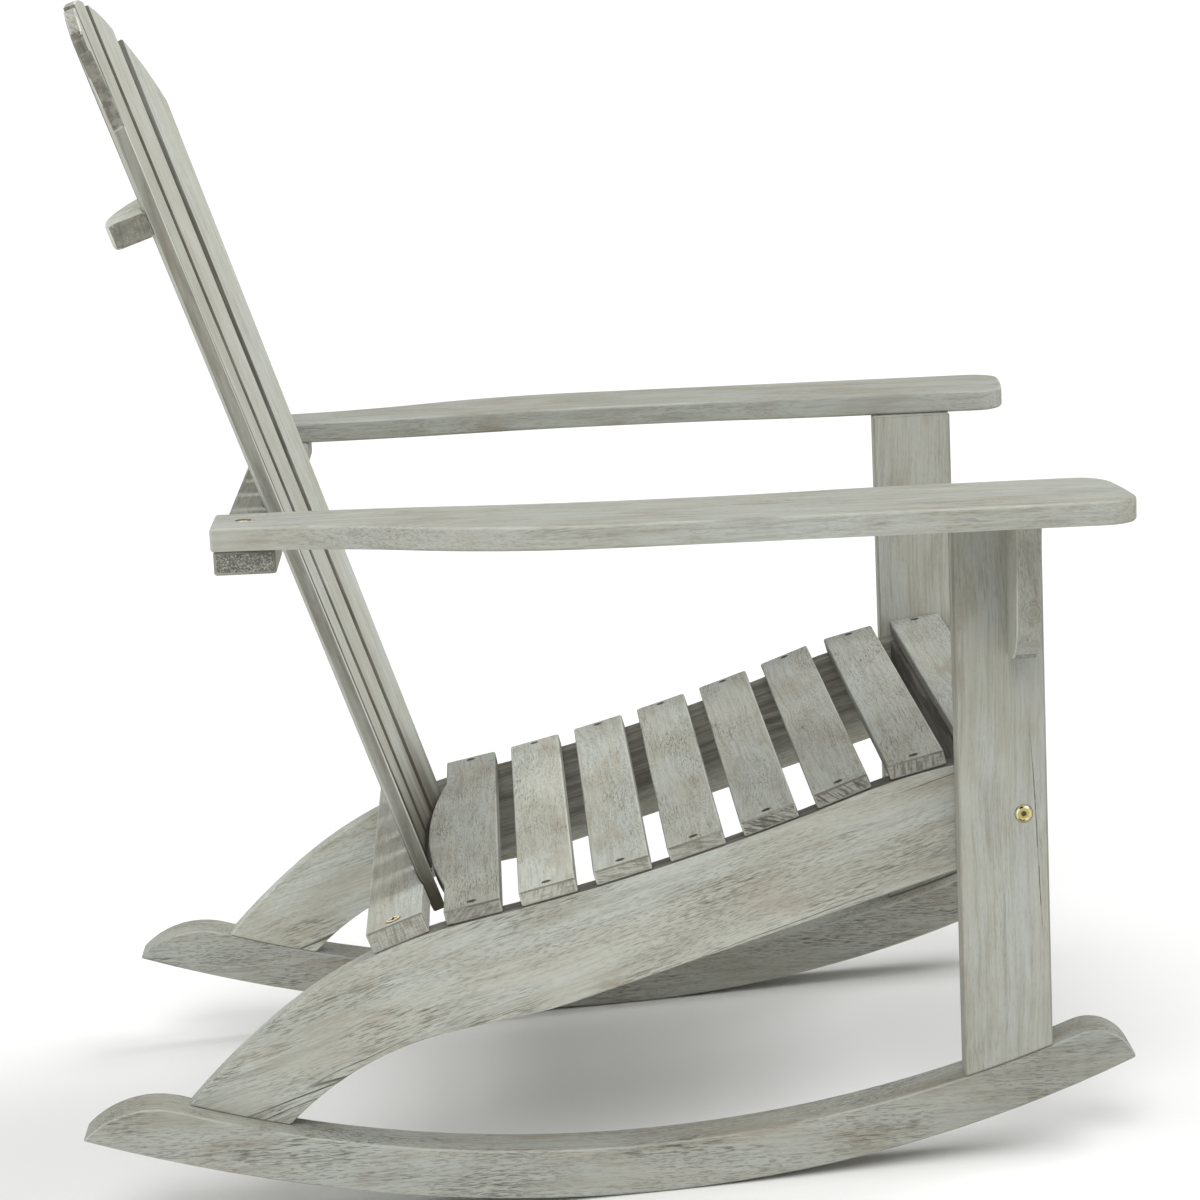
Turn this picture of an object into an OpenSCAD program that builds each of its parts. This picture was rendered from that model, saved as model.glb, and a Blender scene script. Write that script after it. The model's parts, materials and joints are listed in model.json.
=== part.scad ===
// Rocking adirondack chair: slatted seat and back on two curved side rails,
// two flat front legs, broad arms and two rockers.
// Millimetres, +Z up, front toward -Y, standing balanced on its rockers.
// Side outlines are drawn with u forward and z up, from a point on the floor
// close behind the rockers' low point.

/* [Overall] */
// Width over both side rails, which is also the length of a seat slat
seat_w = 520; // [440:1:600]
// Backward lean of the whole chair at rest, in degrees
rest_lean = -2.88; // [-5:0.01:0]
// Height of the underside of the arms over the front legs
arm_z = 544.1; // [500:0.1:600]
// Rise of the arms toward the back, in degrees
arm_slope = 0.25; // [0:0.05:1.5]

/* [Rockers] */
// Radius of the rocker's sole around its low point
sole_r = 1106; // [1000:1:1200]
// Forward place of the sole's low point
sole_u = 5; // [0:0.5:10]
// Radius of the sole's rear part
sole_rear_r = 1420; // [1200:5:1600]
// Angle behind the low point where the rear part begins, in degrees
sole_rear_a = 8; // [5:0.1:12]
// Radius of the sole's front part
sole_front_r = 1070; // [900:5:1100]
// Angle in front of the low point where the front part begins, in degrees
sole_front_a = 9.6; // [6:0.1:14]
// Height of the rocker at its middle
rocker_h = 40.4; // [34:0.1:56]
// Radius of the rocker's top edge
top_r = 1097; // [1040:1:1120]
// Forward place of the top edge's low point
top_u = 3.5; // [0:0.5:8]
// Reach of the sole backward
rocker_rear = 400; // [350:1:440]
// Reach of the sole in front of the leg
rocker_toe = 67; // [37:1:112]
// Radius of the rounded rear end
rear_nose_r = 78; // [50:1:100]
// Radius of the rounded front end
front_nose_r = 35; // [30:1:60]

/* [Side rails] */
// Thickness of the rail board
rail_t = 22; // [16:0.5:28]
// Depth of the rail, square to the seat, at the seat's middle
rail_depth = 82.5; // [64:0.5:96]
// Radius of the seat's hollow
seat_r = 2036; // [1700:2:3000]
// Forward place of the seat's middle
seat_mid_u = 75; // [55:1:95]
// Height of the rail's top at the seat's middle
seat_mid_z = 266; // [240:1:290]
// Slope of the seat at its middle, in degrees
seat_slope = 15.6; // [12:0.1:18]
// Slope where the hollow meets the rear leg's curve, in degrees
rear_slope = 11.05; // [10:0.05:11.5]
// Slope where the hollow meets the front roll, in degrees
front_slope = 20; // [19:0.1:21]
// Radius of the rear leg's upper edge behind the seat
rear_r = 373; // [340:1:400]
// Slope where the rear leg's upper edge grows straighter, in degrees
shank_slope = 38; // [34:0.5:42]
// Radius of the rear leg's upper edge down to the foot
shank_r = 624; // [500:1:800]
// Radius of the seat's front roll
roll_r = 509; // [400:1:700]
// Slope of the rail's straight lower edge, in degrees
under_slope = 16.6; // [14.6:0.1:18]
// Slope of the lower edge behind its hollow, in degrees
under_soft_slope = 8.7; // [7:0.1:9.5]
// Slope where the lower edge turns down to the foot, in degrees
under_turn_slope = 10.9; // [10.5:0.1:12]
// Radius of the rear leg's lower edge at the foot
under_foot_r = 256; // [235:1:290]

/* [Front legs] */
// Width of the front leg
leg_w = 71; // [60:1:85]
// Thickness of the front leg
leg_t = 21; // [16:0.5:26]
// Distance of the leg's rear edge behind the last seat slat's middle
leg_back = 33.3; // [24:0.1:43]

/* [Seat slats] */
// Width of a seat slat
slat_w = 46.5; // [40:0.5:54]
// Thickness of a seat slat
slat_t = 12.5; // [9:0.5:16]
// Spacing of the seat slats along the rail
slat_pitch = 62; // [60:0.5:64]
// Place of the first slat's middle in front of the rear leg's curve
slat_start = 4; // [3:0.5:8]

/* [Back] */
// Tilt of the back from upright, in degrees
back_tilt = 18.7; // [15:0.1:23]
// Radius of the hollow that the slats' faces follow
back_r = 1077; // [900:1:1400]
// Length of the middle slat
back_len = 791; // [700:1:880]
// Thickness of a back slat
back_t = 10.4; // [9:0.1:13]
// Width of a back slat at its foot
back_w_foot = 54; // [46:0.5:60]
// Width of a back slat at its head
back_w_head = 70; // [62:0.5:76]
// Gap between back slats
back_gap = 16.5; // [8:0.5:20]
// Radius of the arch along the slats' heads
arch_r = 245; // [225:1:320]
// Drop of the slats' feet below the lower cross piece
back_drop = 8.5; // [4:0.5:12]

/* [Lower cross piece] */
// Width of the lower cross piece
lower_w = 48.5; // [42:0.5:56]
// Thickness of the lower cross piece
lower_t = 17.5; // [12:0.5:22]
// Depth of the hollow in its front edge
lower_hollow = 14; // [12:0.1:17]
// Slope of the rail under it, in degrees
lower_slope = 19.9; // [17:0.1:22]

/* [Upper brace] */
// Place of the brace's lower face up the slats
upper_s = 596; // [500:1:660]
// Height of the brace along the slats
upper_h = 21; // [15:0.5:28]
// Depth of the brace, square to the slats
upper_d = 32.5; // [24:0.5:40]
// Radius of its rear corners
upper_corner_r = 7; // [3:0.5:12]
// Distance of its ends inside the back's edges
upper_inset = 6; // [2:0.5:15]

/* [Arms] */
// Thickness of the arm
arm_t = 18.5; // [14:0.5:24]
// Width of the arm at its rear end
arm_rear_w = 68.5; // [60:0.5:76]
// Width of the arm at its front
arm_front_w = 122; // [110:1:136]
// Sideways place of the inner edge's front part beyond the rail's outer face
arm_in = 6.5; // [2:0.5:9]
// Sideways bend of the inner edge from its waist to the front
arm_bend_front = 9.5; // [4:0.5:14]
// Sideways bend of the inner edge from its waist to the rear end
arm_bend_rear = 21; // [16:0.5:26]
// Forward place of the middle of the arm's waist
arm_waist_u = 95; // [80:1:105]
// Reach of the arm backward
arm_rear = 264; // [255:1:278]
// Reach of the arm in front of the leg
arm_over = 60; // [34:1:88]
// Length over which the arm widens
arm_flare = 304; // [280:1:320]
// Radius of the arm's front corners
arm_corner_r = 28; // [12:1:40]

/* [Arm brace] */
// Width of the arm brace at its ends
arm_brace_w = 48; // [42:0.5:54]
// Distance of the arm brace in front of the arms' rear ends
arm_brace_in = 1.5; // [0:0.5:6]
// Thickness of the arm brace
arm_brace_t = 19; // [14:0.5:24]
// Distance of its ends inside the arms' outer edges
arm_brace_inset = 4; // [1:0.5:10]

/* [Corbels] */
// Reach of the corbel out from the leg
corbel_d = 62; // [50:1:80]
// Height of the corbel
corbel_h = 117; // [95:1:150]
// Thickness of the corbel
corbel_t = 19.5; // [14:0.5:26]
// Distance of the corbel behind the leg's front edge
corbel_inset = 9; // [4:0.5:14]
// Radius of the corbel's lower end
corbel_r = 39; // [30:0.5:44]

/* [Apron] */
// Height of the apron under the seat
apron_h = 66; // [50:1:78]
// Thickness of the apron
apron_t = 19; // [14:0.5:24]
// Forward place of the apron's rear face behind the last slat's middle
apron_back = 26; // [22:0.5:30]

/* [Fasteners] */
// Diameter of the recess over a seat screw
seat_hole_d = 8; // [6:0.1:10]
// Depth of the recess over a seat screw
seat_hole_h = 5; // [4:0.1:6]
// Diameter of a screw's shank
shank_d = 4; // [3:0.1:4.6]
// Diameter of the leg bolt's head
bolt_d = 14.2; // [10:0.1:18]
// Diameter of the cross piece screw's head
cross_screw_d = 12.4; // [9:0.1:14]
// Diameter of the recess in the arm
arm_hole_d = 12.8; // [9:0.1:15]
// Depth of the recess in the arm
arm_hole_h = 4.5; // [3:0.1:6]
// Clearance around heads and shanks
fit_gap = 0.2; // [0.1:0.05:0.3]
// Clearance between boards that only meet
board_gap = 0.1; // [0.05:0.05:0.3]

/* [Hidden] */
$fn = 96;
// Overrun of cuts
over = 2;
// Length that reaches past the whole chair
far = 4 * sole_rear_r;
// Offset that lets two arcs cross where one runs into the other, and the length over
// which they then overlap, from the difference of their curvatures
seam = board_gap / 5;
function seam_len(bend) = 1.5 * sqrt(2 * seam / bend);
half_w = seat_w / 2;
// Inner and outer side of the rocker board
rocker_x = half_w - rail_t;
rocker_t = rail_t + leg_t;
// Centres of the rocker's top edge and of the sole's middle, rear and front parts
top_c = [top_u, rocker_h + top_r];
sole_c = [sole_u, sole_r];
rear_shift = sole_rear_r - sole_r;
sole_rear_c = [sole_u + rear_shift * sin(sole_rear_a), sole_r + rear_shift * cos(sole_rear_a)];
front_shift = sole_r - sole_front_r;
sole_front_c = [sole_u + front_shift * sin(sole_front_a), sole_r - front_shift * cos(sole_front_a)];
sole_rear_u = sole_u - sole_r * sin(sole_rear_a);
sole_front_u = sole_u + sole_r * sin(sole_front_a);

// Height of the sole at a forward place on its rear and on its front part
function on_arc(c, r, u) = c[1] - sqrt(r * r - pow(u - c[0], 2));
rear_tip = [-rocker_rear, on_arc(sole_rear_c, sole_rear_r, -rocker_rear)];

// The rail's upper edge: hollow, rear curve and front roll, all tangent
hollow_c = [seat_mid_u - seat_r * sin(seat_slope), seat_mid_z + seat_r * cos(seat_slope)];
function hollow_at(a) = [hollow_c[0] + seat_r * sin(a), hollow_c[1] - seat_r * cos(a)];
rear_joint = hollow_at(rear_slope);
roll_joint = hollow_at(front_slope);
rear_c = [rear_joint[0] + rear_r * sin(rear_slope), rear_joint[1] - rear_r * cos(rear_slope)];
shank_joint = [rear_c[0] - rear_r * sin(shank_slope), rear_c[1] + rear_r * cos(shank_slope)];
shank_c = [shank_joint[0] + shank_r * sin(shank_slope), shank_joint[1] - shank_r * cos(shank_slope)];
roll_c = [roll_joint[0] + roll_r * sin(front_slope), roll_joint[1] - roll_r * cos(front_slope)];
hollow_len = seat_r * (front_slope - rear_slope) * PI / 180;

// Slope and place on the rail's upper edge, at a length in front of the rear curve
function seat_a(s) = s < hollow_len
    ? rear_slope + s / seat_r * 180 / PI
    : front_slope - (s - hollow_len) / roll_r * 180 / PI;
function seat_p(s) = s < hollow_len
    ? hollow_at(seat_a(s))
    : [roll_c[0] - roll_r * sin(seat_a(s)), roll_c[1] + roll_r * cos(seat_a(s))];
function slat_s(i) = slat_start + (i - 1) * slat_pitch;

// The front leg stands at the last seat slat, and the rocker's and the arm's front at the leg
leg_u = seat_p(slat_s(8))[0] - leg_back;
leg_front_u = leg_u + leg_w;
rocker_front = leg_front_u + rocker_toe;
arm_front = leg_front_u + arm_over;
front_tip = [rocker_front, on_arc(sole_front_c, sole_front_r, rocker_front)];

// Rise that lets a flat slat lie on the hollow with its edges
hollow_rise = slat_w * slat_w / (8 * seat_r) + board_gap;

// The rail's lower edge: straight, a small hollow, then two rounds down to the foot
under_hollow_r = 3.6 * rail_depth;
under_long_r = 18.6 * rail_depth;
under_line = [seat_mid_u + rail_depth * sin(seat_slope), seat_mid_z - rail_depth * cos(seat_slope)];
under_bend_u = seat_mid_u - 0.97 * rail_depth;
under_bend = [under_bend_u, under_line[1] - (under_line[0] - under_bend_u) * tan(under_slope)];
under_hollow_c = [
    under_bend[0] - under_hollow_r * sin(under_slope),
    under_bend[1] + under_hollow_r * cos(under_slope)
];
under_soft = [
    under_hollow_c[0] + under_hollow_r * sin(under_soft_slope),
    under_hollow_c[1] - under_hollow_r * cos(under_soft_slope)
];
under_long_c = [
    under_soft[0] + under_long_r * sin(under_soft_slope),
    under_soft[1] - under_long_r * cos(under_soft_slope)
];
under_turn = [
    under_long_c[0] - under_long_r * sin(under_turn_slope),
    under_long_c[1] + under_long_r * cos(under_turn_slope)
];
under_foot_c = [
    under_turn[0] + under_foot_r * sin(under_turn_slope),
    under_turn[1] - under_foot_r * cos(under_turn_slope)
];

// The lower cross piece lies on the rear curve where its slope is its own
lower_p = [rear_c[0] - rear_r * sin(lower_slope), rear_c[1] + rear_r * cos(lower_slope)];
// Distance from its middle forward to the slats' rear faces
lower_to_back = lower_w / 2 - lower_hollow;
// Foot of the middle slat's front face
back_n = lower_to_back + back_t;
back_p = [
    lower_p[0] + back_n * cos(back_tilt) + back_drop * sin(back_tilt),
    lower_p[1] + back_n * sin(back_tilt) - back_drop * cos(back_tilt)
];
// Angle between neighbouring slats around the hollow, and their fan
pitch_foot = back_w_foot + back_gap;
pitch_head = back_w_head + back_gap;
slat_turn = (pitch_foot + pitch_head) / 2 / back_r * 180 / PI;
slat_fan = atan((pitch_head - pitch_foot) / back_len);
// Radius that clears the rear corners of the flat slats
corner_u = back_w_head / 2 + back_len / 2 * tan(2 * slat_fan);
brace_r = sqrt(pow(back_r + back_t, 2) + pow(corner_u * 0.6, 2));

// Outer edge of the outermost slat at a length up the back
function back_edge(s) = (back_r - back_t) * sin(2 * slat_turn)
    + (s - back_len / 2) * sin(2 * slat_fan)
    + (back_w_foot + (back_w_head - back_w_foot) * s / back_len) / 2;
upper_half = back_edge(upper_s) - upper_inset;

// Arm outline: inner edge at the front, waist and rear, outer edge at the front and rear
arm_x = half_w + arm_in;
arm_waist_x = arm_x + arm_bend_front;
arm_rear_x = arm_waist_x - arm_bend_rear;
arm_out = arm_x + arm_front_w;
arm_rear_out = arm_rear_x + arm_rear_w;
arm_screw_x = arm_rear_x + arm_rear_w / 2;
arm_screw_u = arm_brace_w / 2 - arm_rear;
arm_brace_x = arm_rear_out - arm_brace_inset;
arm_pivot_u = leg_u + leg_w / 2;
// Place over the floor of a point at u along an arm and h over its underside
function arm_p(u, h) = [
    arm_pivot_u + (u - arm_pivot_u) * cos(arm_slope) + h * sin(arm_slope),
    arm_z - (u - arm_pivot_u) * sin(arm_slope) + h * cos(arm_slope)
];

// Leg bolt and screws
bolt_shank_d = 1.5 * shank_d;
bolt_head_h = 0.14 * bolt_d;
bolt_proud = 0.2 * bolt_head_h;
bolt_u = leg_u + leg_w * 0.73;
bolt_z = 0.548 * arm_z;
cross_head_h = 0.16 * cross_screw_d;
arm_head_h = 0.4 * arm_hole_h;
seat_head_h = 0.4 * seat_hole_h;
seat_grip = 1.4 * slat_t;
cross_grip = 1.2 * lower_t;

// Middle of the floor outline, so that the chair stands over its origin
function lean_u(p) = (p[0] - sole_u) * cos(rest_lean) - (p[1] - sole_r) * sin(rest_lean);
back_head = [
    back_p[0] - back_len * sin(back_tilt) - back_t * cos(back_tilt),
    back_p[1] + back_len * cos(back_tilt) - back_t * sin(back_tilt)
];
rear_reach = min(lean_u(rear_tip), lean_u(back_head));
front_reach = max(
    lean_u(front_tip),
    lean_u(arm_p(arm_front, 0)),
    lean_u(arm_p(arm_front, board_gap + arm_t))
);
centre_u = (rear_reach + front_reach) / 2;

wood = "#a8aa9f";
wood_dark = "#8f9085";
brass = "#b9a15c";
steel = "#55534c";

// Places and frames

module at_rest() {
    translate([0, centre_u, sole_r])
        rotate([-rest_lean, 0, 0])
            translate([0, sole_u, -sole_r])
                children();
}

// A board of thickness t whose inner face is at x, from a side outline (u, z)
module side_board(x, t) {
    translate([x, 0, 0])
        rotate([90, 0, 90])
            mirror([1, 0, 0])
                linear_extrude(t)
                    children();
}

// The same board on the right or the left side
module on_side(side) {
    if (side > 0)
        children();
    else
        mirror([1, 0, 0])
            children();
}

// Frame on the side outline: local -Y runs forward along the slope, local Z square to it
module at_slope(p, a) {
    translate([0, -p[0], p[1]])
        rotate([-a, 0, 0])
            children();
}

module at_slat(i) {
    at_slope(seat_p(slat_s(i)), seat_a(slat_s(i)))
        translate([0, 0, hollow_rise])
            children();
}

module at_back() {
    at_slope(back_p, back_tilt)
        children();
}

module span(u0, u1, z0, z1) {
    translate([u0, z0])
        square([u1 - u0, z1 - z0]);
}

// Side outlines

module ray_fan(a0, a1) {
    reach = 1.2 * sole_r;
    translate(top_c)
        polygon([
            [0, 0],
            [reach * sin(a0), -reach * cos(a0)],
            [reach * sin(a1), -reach * cos(a1)]
        ]);
}

// Angle of a tip seen from the centre of the top edge, and from there to its rounded end
function tip_a(p) = atan2(p[0] - top_c[0], top_c[1] - p[1]);
function tip_r(p) = norm([p[0] - top_c[0], p[1] - top_c[1]]);
function nose_reach(r) = top_r + r - 2 * seam;
function nose_turn(p, r) = acos(
    (pow(nose_reach(r), 2) + pow(tip_r(p), 2) - r * r) / (2 * nose_reach(r) * tip_r(p))
);

module nose(a, r) {
    translate([top_c[0] + nose_reach(r) * sin(a), top_c[1] - nose_reach(r) * cos(a)])
        circle(r);
}

module rocker_outline() {
    a0 = tip_a(rear_tip) + nose_turn(rear_tip, rear_nose_r);
    a1 = tip_a(front_tip) - nose_turn(front_tip, front_nose_r);
    intersection() {
        difference() {
            above_sole();
            translate(top_c)
                circle(top_r, $fn = 360);
        }
        union() {
            ray_fan(a0, a1);
            nose(a0, rear_nose_r);
            nose(a1, front_nose_r);
        }
    }
}

// Everything above the sole
module above_sole() {
    rear_bend = 1 / sole_r - 1 / sole_rear_r;
    front_bend = 1 / sole_front_r - 1 / sole_r;
    intersection() {
        translate(sole_rear_c)
            circle(sole_rear_r - seam, $fn = 480);
        span(-far, sole_rear_u, -over, far);
    }
    intersection() {
        translate(sole_c)
            circle(sole_r, $fn = 360);
        span(sole_rear_u - seam_len(rear_bend), sole_front_u, -over, far);
    }
    intersection() {
        translate(sole_front_c)
            circle(sole_front_r + seam, $fn = 360);
        span(sole_front_u - seam_len(front_bend), far, -over, far);
    }
}

module above_rocker() {
    translate(top_c)
        circle(top_r - board_gap, $fn = 360);
}

// Everything under the rail's upper edge
module under_seat() {
    intersection() {
        translate(shank_c)
            circle(shank_r, $fn = 240);
        span(-far, shank_joint[0], -over, far);
    }
    intersection() {
        translate(rear_c)
            circle(rear_r + seam, $fn = 180);
        span(
            shank_joint[0] - seam_len(1 / rear_r - 1 / shank_r),
            rear_joint[0] + seam_len(1 / rear_r + 1 / seat_r),
            -over, far
        );
    }
    difference() {
        span(rear_joint[0], roll_joint[0], -over, roll_joint[1] + over);
        translate(hollow_c)
            circle(seat_r, $fn = 720);
    }
    intersection() {
        translate(roll_c)
            circle(roll_r + seam, $fn = 180);
        span(roll_joint[0] - seam_len(1 / roll_r + 1 / seat_r), far, -over, far);
    }
}

// Everything under the rail's lower edge
module under_rail() {
    start_u = under_bend[0] - seam_len(1 / under_hollow_r);
    end_u = leg_front_u + over;
    polygon([
        [start_u, -over],
        [start_u, under_bend[1] + seam + (start_u - under_bend[0]) * tan(under_slope)],
        [end_u, under_bend[1] + seam + (end_u - under_bend[0]) * tan(under_slope)],
        [end_u, -over]
    ]);
    difference() {
        span(under_soft[0], under_bend[0], -over, under_bend[1] + over);
        translate(under_hollow_c)
            circle(under_hollow_r, $fn = 180);
    }
    intersection() {
        translate(under_long_c)
            circle(under_long_r + seam, $fn = 360);
        span(
            under_turn[0],
            under_soft[0] + seam_len(1 / under_hollow_r + 1 / under_long_r),
            -over, far
        );
    }
    intersection() {
        translate(under_foot_c)
            circle(under_foot_r + 2 * seam, $fn = 180);
        span(
            -far, under_turn[0] + seam_len(1 / under_foot_r - 1 / under_long_r),
            -over, far
        );
    }
}

module rail_outline() {
    difference() {
        intersection() {
            under_seat();
            above_rocker();
            span(-far, leg_front_u - over, -over, far);
        }
        under_rail();
    }
}

// Boards

module rocker(side) {
    on_side(side)
        side_board(rocker_x, rocker_t)
            rocker_outline();
}

module rail(side) {
    on_side(side)
        difference() {
            side_board(rocker_x, rail_t - board_gap)
                rail_outline();
            for (i = [1 : 8])
                at_slat(i)
                    translate([half_w - rail_t / 2, 0, -seat_grip - fit_gap])
                        cylinder(d = shank_d + 2 * fit_gap, h = seat_grip + over);
            at_slope(lower_p, lower_slope)
                translate([half_w - rail_t / 2, 0, -cross_grip - fit_gap])
                    cylinder(d = shank_d + 2 * fit_gap, h = cross_grip + over);
            translate([rocker_x - over, -bolt_u, bolt_z])
                rotate([0, 90, 0])
                    cylinder(d = bolt_shank_d + 2 * fit_gap, h = rail_t + 2 * over);
        }
}

module leg(side) {
    on_side(side)
        difference() {
            side_board(half_w, leg_t)
                intersection() {
                    polygon([
                        [leg_u, 0],
                        [leg_u, arm_z + leg_w / 2 * tan(arm_slope)],
                        [leg_front_u, arm_z - leg_w / 2 * tan(arm_slope)],
                        [leg_front_u, 0]
                    ]);
                    above_rocker();
                }
            translate([half_w - over, -bolt_u, bolt_z])
                rotate([0, 90, 0])
                    cylinder(d = bolt_shank_d + 2 * fit_gap, h = leg_t + 2 * over);
            translate([half_w + leg_t - bolt_head_h + bolt_proud, -bolt_u, bolt_z])
                rotate([0, 90, 0])
                    cylinder(d = bolt_d + 2 * fit_gap, h = bolt_head_h + over);
        }
}

// Frame of the arms: z = 0 is their underside
module at_arms() {
    translate([0, -arm_pivot_u, arm_z])
        rotate([arm_slope, 0, 0])
            translate([0, arm_pivot_u, 0])
                children();
}

// Strip across an arm from u0 to u1, seen from above, x out and y back
module strip(u0, u1) {
    translate([0, -u1])
        square([2 * arm_out, u1 - u0]);
}

// The part of a strip that lies outward of an S-shaped edge, from x0 at u0 to x1 at u1
module past_edge(u0, u1, x0, x1) {
    mid_u = (u0 + u1) / 2;
    low = min(x0, x1);
    high = max(x0, x1);
    low_u = x0 < x1 ? u0 : u1;
    high_u = x0 < x1 ? u1 : u0;
    r = (pow(u1 - u0, 2) + pow(x1 - x0, 2)) / (4 * (high - low));
    reach = seam_len(1 / r);
    intersection() {
        strip(min(low_u, mid_u) - reach, max(low_u, mid_u) + reach);
        translate([low + r - seam, -low_u])
            circle(r, $fn = 360);
    }
    difference() {
        strip(min(high_u, mid_u), max(high_u, mid_u));
        translate([high - r + seam, -high_u])
            circle(r, $fn = 360);
    }
}

module past_line(u0, u1, x) {
    translate([x, -u1])
        square([arm_out, u1 - u0]);
}

// Inner edge: inward at the rear, out to a waist, a little inward again at the front
module past_inner() {
    rear_u = -arm_rear + arm_rear_w / 2;
    waist_half = arm_rear_w / 4;
    front_u = arm_waist_u + 0.64 * arm_flare;
    reach = arm_rear_w / 5;
    past_line(-arm_rear - over, rear_u, arm_rear_x);
    past_edge(rear_u, arm_waist_u - waist_half, arm_rear_x, arm_waist_x);
    past_line(arm_waist_u - waist_half - reach, arm_waist_u + waist_half + reach, arm_waist_x);
    past_edge(arm_waist_u + waist_half, front_u, arm_waist_x, arm_x);
    past_line(front_u, arm_front + over, arm_x);
}

module arm_outline() {
    difference() {
        intersection() {
            past_inner();
            union() {
                translate([0, arm_corner_r - arm_front])
                    square([arm_out, arm_front - arm_corner_r + arm_rear]);
                translate([arm_x + arm_corner_r, -arm_front])
                    square([arm_front_w - 2 * arm_corner_r, arm_corner_r + over]);
                for (x = [arm_x + arm_corner_r, arm_out - arm_corner_r])
                    translate([x, arm_corner_r - arm_front])
                        circle(arm_corner_r + seam);
            }
        }
        past_edge(-arm_rear, arm_flare - arm_rear, arm_rear_out, arm_out);
    }
}

module arm(side) {
    on_side(side)
        at_arms()
            difference() {
                translate([0, 0, board_gap])
                    linear_extrude(arm_t)
                        arm_outline();
                translate([arm_screw_x, -arm_screw_u, -over])
                    cylinder(d = shank_d + 2 * fit_gap, h = arm_t + 2 * over);
                translate([arm_screw_x, -arm_screw_u, board_gap + arm_t - arm_hole_h])
                    cylinder(d = arm_hole_d, h = arm_hole_h + over);
            }
}

// Corbel seen from the front, x out from the leg and y up from its top
module corbel_outline() {
    low = corbel_h - corbel_r;
    foot = corbel_d - corbel_h * 0.08;
    difference() {
        polygon([
            [0, 0],
            [corbel_d, 0],
            [foot, -low],
            [foot, -corbel_h],
            [0, -corbel_h]
        ]);
        difference() {
            translate([foot - corbel_r, -corbel_h - over])
                square([corbel_r + over, corbel_r + over]);
            translate([foot - corbel_r, -low])
                circle(corbel_r + seam);
        }
    }
}

module corbel(side) {
    on_side(side)
        at_arms()
            translate([half_w + leg_t + board_gap, corbel_inset - leg_front_u + corbel_t, 0])
                rotate([90, 0, 0])
                    linear_extrude(corbel_t)
                        corbel_outline();
}

// Space that the back slats take, with the hollow of their rear faces
module back_hollow() {
    at_back()
        translate([0, -back_r, -back_len / 2])
            cylinder(r = brace_r, h = 2 * back_len, $fn = 720);
}

module arm_brace() {
    difference() {
        at_arms()
            translate([-arm_brace_x, arm_rear - arm_brace_in - arm_brace_w, -arm_brace_t])
                cube([2 * arm_brace_x, arm_brace_w, arm_brace_t]);
        back_hollow();
        for (side = [-1, 1])
            at_arms()
                translate([side * arm_screw_x, -arm_screw_u, -arm_brace_t * 0.8])
                    cylinder(d = shank_d + 2 * fit_gap, h = arm_brace_t);
    }
}

// Upper brace seen along the slats, x across and y back, curved like the back
module upper_outline() {
    rear_y = brace_r + upper_d;
    corner_x = upper_half - upper_corner_r;
    corner_y = sqrt(pow(rear_y - upper_corner_r, 2) - corner_x * corner_x);
    joint_x = corner_x * rear_y / (rear_y - upper_corner_r);
    front_y = sqrt(brace_r * brace_r - upper_half * upper_half) - over;
    difference() {
        union() {
            translate([-upper_half, front_y])
                square([2 * upper_half, corner_y - front_y]);
            intersection() {
                translate([-joint_x, front_y])
                    square([2 * joint_x, rear_y - front_y + over]);
                circle(rear_y, $fn = 720);
            }
            for (side = [-1, 1])
                translate([side * corner_x, corner_y])
                    circle(upper_corner_r + seam);
        }
        circle(brace_r, $fn = 720);
    }
}

module upper_brace() {
    at_back()
        translate([0, -back_r, upper_s])
            linear_extrude(upper_h)
                upper_outline();
}

module lower_cross() {
    difference() {
        at_slope(lower_p, lower_slope)
            translate([-half_w, -lower_w / 2, board_gap])
                cube([seat_w, lower_w, lower_t]);
        back_hollow();
        for (side = [-1, 1])
            at_slope(lower_p, lower_slope)
                translate([side * (half_w - rail_t / 2), 0, 0]) {
                    translate([0, 0, -over])
                        cylinder(d = shank_d + 2 * fit_gap, h = lower_t + 2 * over);
                    translate([0, 0, board_gap + lower_t - cross_head_h / 2])
                        cylinder(d = cross_screw_d + 2 * fit_gap, h = cross_head_h + over);
                }
    }
}

module apron() {
    face_u = seat_p(slat_s(8))[0] - apron_back;
    top = seat_p(slat_s(8))[1];
    translate([-rocker_x + board_gap, 0, 0])
        side_board(0, 2 * (rocker_x - board_gap))
            intersection() {
                under_seat();
                span(face_u, face_u + apron_t, top - apron_h, top + over);
            }
}

// Slat k of the back, counted from the middle, with its foot at the origin
module back_slat(k) {
    at_back()
        intersection() {
            translate([0, -back_r, back_len / 2])
                rotate([0, 0, -k * slat_turn])
                    translate([0, back_r, 0])
                        rotate([0, k * slat_fan, 0])
                            translate([0, 0, -back_len / 2])
                                back_board();
            translate([0, back_r / 2, 0])
                rotate([90, 0, 0])
                    linear_extrude(back_r)
                        arch_outline();
        }
}

module back_board() {
    reach = back_len + back_w_head;
    grow = (back_w_head - back_w_foot) / 2 / back_len;
    translate([0, back_t, 0])
        rotate([90, 0, 0])
            linear_extrude(back_t)
                polygon([
                    [-back_w_foot / 2, 0],
                    [back_w_foot / 2, 0],
                    [back_w_foot / 2 + grow * reach, reach],
                    [-back_w_foot / 2 - grow * reach, reach]
                ]);
}

module arch_outline() {
    translate([0, back_len - arch_r])
        circle(arch_r, $fn = 180);
    translate([-far, -over * 10])
        square([2 * far, back_len - arch_r + over * 10]);
}

// Plain seat slat lying on the rails
module slat_board() {
    translate([-half_w, -slat_w / 2, 0])
        cube([seat_w, slat_w, slat_t]);
}

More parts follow.
